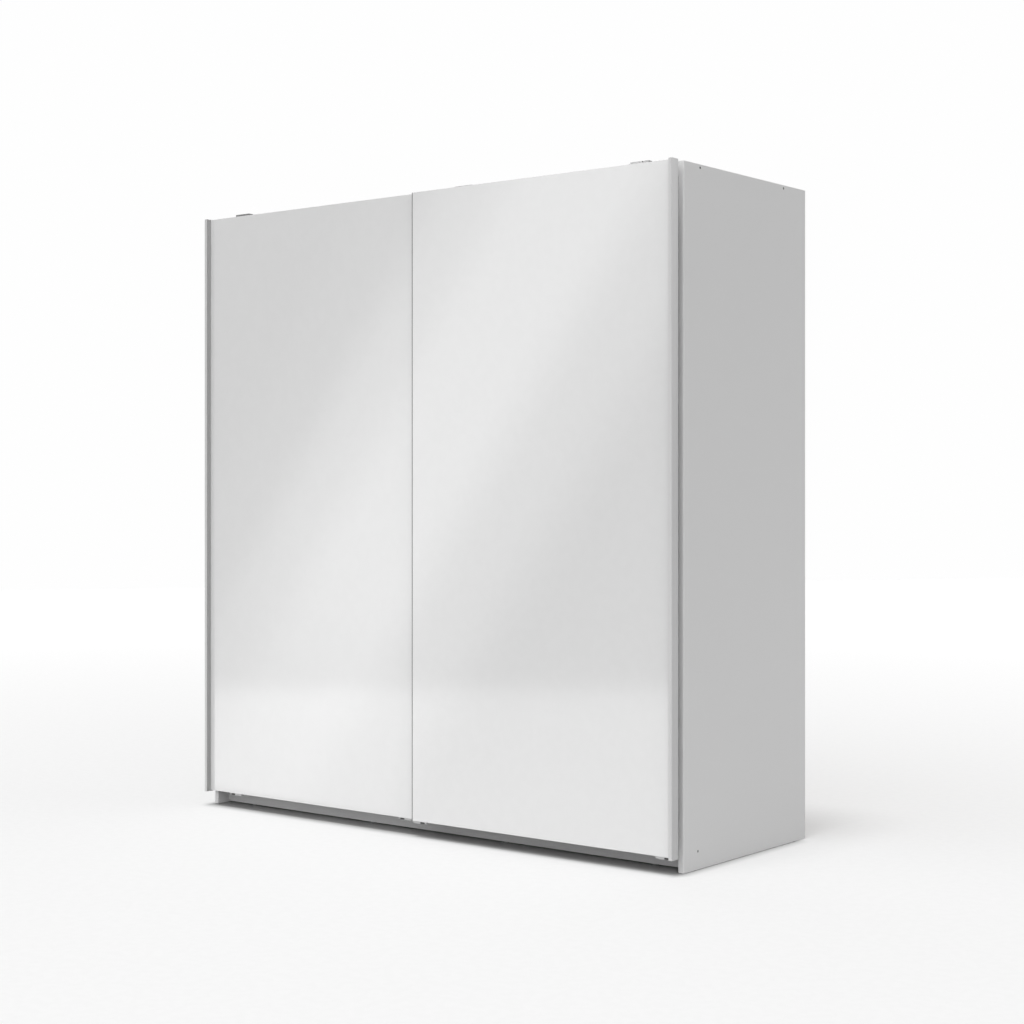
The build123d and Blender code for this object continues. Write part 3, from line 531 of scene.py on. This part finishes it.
light_mesh.materials.append(glow)
light.visible_camera = False
light.visible_diffuse = False
light.visible_transmission = False
light.visible_shadow = False

# ---- pieces shaped here, each in place of a plainer CAD node ----
SHARP = math.radians(32.0)
ARC_STEPS = 6
ROUND_STEPS = 48
EASING = 0.4 * MM  # of the ends of an upright piece


def add_piece(name, mesh_data, body, slot_name, node):
    """Finishes a bmesh as a smooth-shaded piece that rides on a body, in place of a CAD node."""
    bmesh.ops.remove_doubles(mesh_data, verts=mesh_data.verts, dist=0.000001)
    bmesh.ops.recalc_face_normals(mesh_data, faces=mesh_data.faces)
    mesh = bpy.data.meshes.new(name)
    mesh_data.to_mesh(mesh)
    mesh_data.free()
    mesh.shade_smooth()
    mesh.set_sharp_from_angle(angle=SHARP)
    piece = bpy.data.objects.new(name, mesh)
    bpy.context.scene.collection.objects.link(piece)
    mesh.materials.append(MATERIALS[slot_name])
    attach(piece, body)
    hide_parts(node)
    return piece


def rounded(points):
    """An outline from (x, y, radius) corners, each rounded by an arc of its own radius."""
    outline = []
    count = len(points)
    for i, (x, y, radius) in enumerate(points):
        corner = Vector((x, y))
        if radius == 0:
            outline.append(corner)
            continue
        before = (Vector(points[i - 1][:2]) - corner).normalized()
        after = (Vector(points[(i + 1) % count][:2]) - corner).normalized()
        half = before.angle(after) / 2
        reach = radius / math.tan(half)
        centre = corner + (before + after).normalized() * (radius / math.sin(half))
        start = corner + before * reach - centre
        turn = start.angle_signed(corner + after * reach - centre)
        for step in range(ARC_STEPS + 1):
            outline.append(centre + Matrix.Rotation(-turn * step / ARC_STEPS, 2) @ start)
    return outline


def upright(mesh_data, outline, bottom, top, inner=None):
    """Extrudes a closed plan outline between two heights with eased ends, hollow if inner is given."""

    def ring(points, z, inset):
        middle = sum(points, Vector((0, 0))) / len(points)
        return [
            mesh_data.verts.new((*(p + (middle - p).normalized() * inset), z)) for p in points
        ]

    def wall(lower, upper):
        for i in range(len(lower)):
            j = (i + 1) % len(lower)
            mesh_data.faces.new((lower[i], lower[j], upper[j], upper[i]))

    rings = [
        ring(outline, bottom, EASING),
        ring(outline, bottom + EASING, 0.0),
        ring(outline, top - EASING, 0.0),
        ring(outline, top, EASING),
    ]
    for lower, upper in zip(rings, rings[1:]):
        wall(lower, upper)
    if inner is None:
        mesh_data.faces.new(list(reversed(rings[0])))
        mesh_data.faces.new(rings[-1])
        return
    floor_ring = ring(inner, bottom, 0.0)
    top_ring = ring(inner, top, 0.0)
    wall(list(reversed(floor_ring)), list(reversed(top_ring)))
    for outside, inside in ((rings[0], floor_ring), (rings[-1], top_ring)):
        edges = []
        for loop in (outside, inside):
            for i in range(len(loop)):
                edges.append(mesh_data.edges.get((loop[i], loop[(i + 1) % len(loop)])))
        bmesh.ops.triangle_fill(mesh_data, edges=edges, use_beauty=True)


def turned(mesh_data, profile, centre):
    """A closed (radius, along) profile turned about the Y axis through centre."""
    rings = []
    for step in range(ROUND_STEPS):
        angle = 2 * math.pi * step / ROUND_STEPS
        ring = []
        for radius, along in profile:
            offset = Vector((radius * math.cos(angle), along, radius * math.sin(angle)))
            ring.append(mesh_data.verts.new(centre + offset))
        rings.append(ring)
    for step in range(ROUND_STEPS):
        here = rings[step]
        there = rings[(step + 1) % ROUND_STEPS]
        for i in range(len(profile)):
            j = (i + 1) % len(profile)
            mesh_data.faces.new((here[i], here[j], there[j], there[i]))


# ---- handle strips: hollow, rounded outside, with a finger groove along the inside, its inner flank darkened with painted shade ----
STRIP_WALL = 2.0 * MM
FRONT_ROUND = 2.5 * MM
REAR_ROUND = 3.5 * MM
GROOVE_DEEP = 1.6 * MM
GROOVE_SLOPE = 2.0 * MM  # of its ends, from front to back
LIP = 3.0 * MM  # in front of the groove
HOLLOW_FRONT = 3.0 * MM  # solid in front of and behind the hollow
HOLLOW_REAR = 6.0 * MM

for side_name, side in (("left", -1), ("right", 1)):
    node = f"handle_strip_{side_name}"
    low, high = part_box(node)
    door_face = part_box(f"door_panel_{side_name}")[0].y
    outer = low.x if side < 0 else high.x
    inner = high.x if side < 0 else low.x
    groove_back = door_face - 0.5 * MM
    groove_front = low.y + LIP
    plan = rounded(
        [
            (inner, low.y, 1.2 * MM),
            (outer, low.y, FRONT_ROUND),
            (outer, high.y, REAR_ROUND),
            (inner, high.y, 0.5 * MM),
            (inner, groove_back, 0.4 * MM),
            (inner + side * GROOVE_DEEP, groove_back - GROOVE_SLOPE, 1.5 * MM),
            (inner + side * GROOVE_DEEP, groove_front + GROOVE_SLOPE, 1.5 * MM),
            (inner, groove_front, 0.4 * MM),
        ]
    )
    wall_x = sorted((outer - side * STRIP_WALL, inner + side * (GROOVE_DEEP + STRIP_WALL)))
    hollow = [
        Vector((wall_x[0], low.y + HOLLOW_FRONT)),
        Vector((wall_x[1], low.y + HOLLOW_FRONT)),
        Vector((wall_x[1], high.y - HOLLOW_REAR)),
        Vector((wall_x[0], high.y - HOLLOW_REAR)),
    ]
    strip = bmesh.new()
    upright(strip, plan, low.z, high.z, inner=hollow)
    profile_name = f"handle_profile_{side_name}"
    profile = add_piece(profile_name, strip, f"door_{side_name}", "handle_profile", node)
    # The faces along the inside, beside the door, take the darker copy: painted shade where the groove
    # lies in shadow.
    profile.data.materials.append(FINGER_SIDE_PAINTED_SHADE)
    for face in profile.data.polygons:
        if face.normal.x * side < -0.6 and face.center.y > groove_front - 1 * MM:
            face.material_index = 1

# ---- dust seal: a slim trim with rounded arrises and a thin lip behind it ----
SEAL_LIP = 1.4 * MM
low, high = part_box("dust_seal")
front_door_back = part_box("door_panel_right")[1].y
seal = bmesh.new()
lip_x = high.x - SEAL_LIP
seal_plan = rounded(
    [
        (low.x, low.y, 0.6 * MM),
        (high.x, low.y, 0.3 * MM),
        (high.x, high.y, 0.3 * MM),
        (lip_x, high.y, 0.3 * MM),
        (lip_x, front_door_back, 0.0),
        (low.x, front_door_back, 0.6 * MM),
    ]
)
upright(seal, seal_plan, low.z, high.z)
add_piece("dust_seal_profile", seal, "door_right", "seal_grey", "dust_seal")

# ---- rollers: a nylon tyre with a shallow tread groove and dished faces ----
BORE = 3.05 * MM
RIM = 0.8 * MM
DISH = 0.9 * MM  # how deep the faces are dished
HUB, DISH_START, DISH_END, DISH_RIM = 0.42, 0.46, 0.74, 0.78  # shares of the radius
for node, slot_name in SLOT_OF.items():
    if not node.startswith("roller_") or "axles" in node:
        continue
    low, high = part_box(node)
    centre = (low + high) / 2
    reach = (high.x - low.x) / 2
    half = (high.y - low.y) / 2
    side_profile = [
        (BORE, half),
        (HUB * reach, half),
        (DISH_START * reach, half - DISH),
        (DISH_END * reach, half - DISH),
        (DISH_RIM * reach, half),
        (reach - RIM, half),
        (reach - 0.3 * RIM, half - 0.3 * RIM),
        (reach, half - RIM),
        (reach, 1.0 * MM),
        (reach - 0.5 * MM, 0.5 * MM),
    ]
    other_side = [(radius, -along) for radius, along in reversed(side_profile)]
    roller = bmesh.new()
    turned(roller, side_profile + other_side, centre)
    add_piece(f"{node}_tyre", roller, node, slot_name, node)
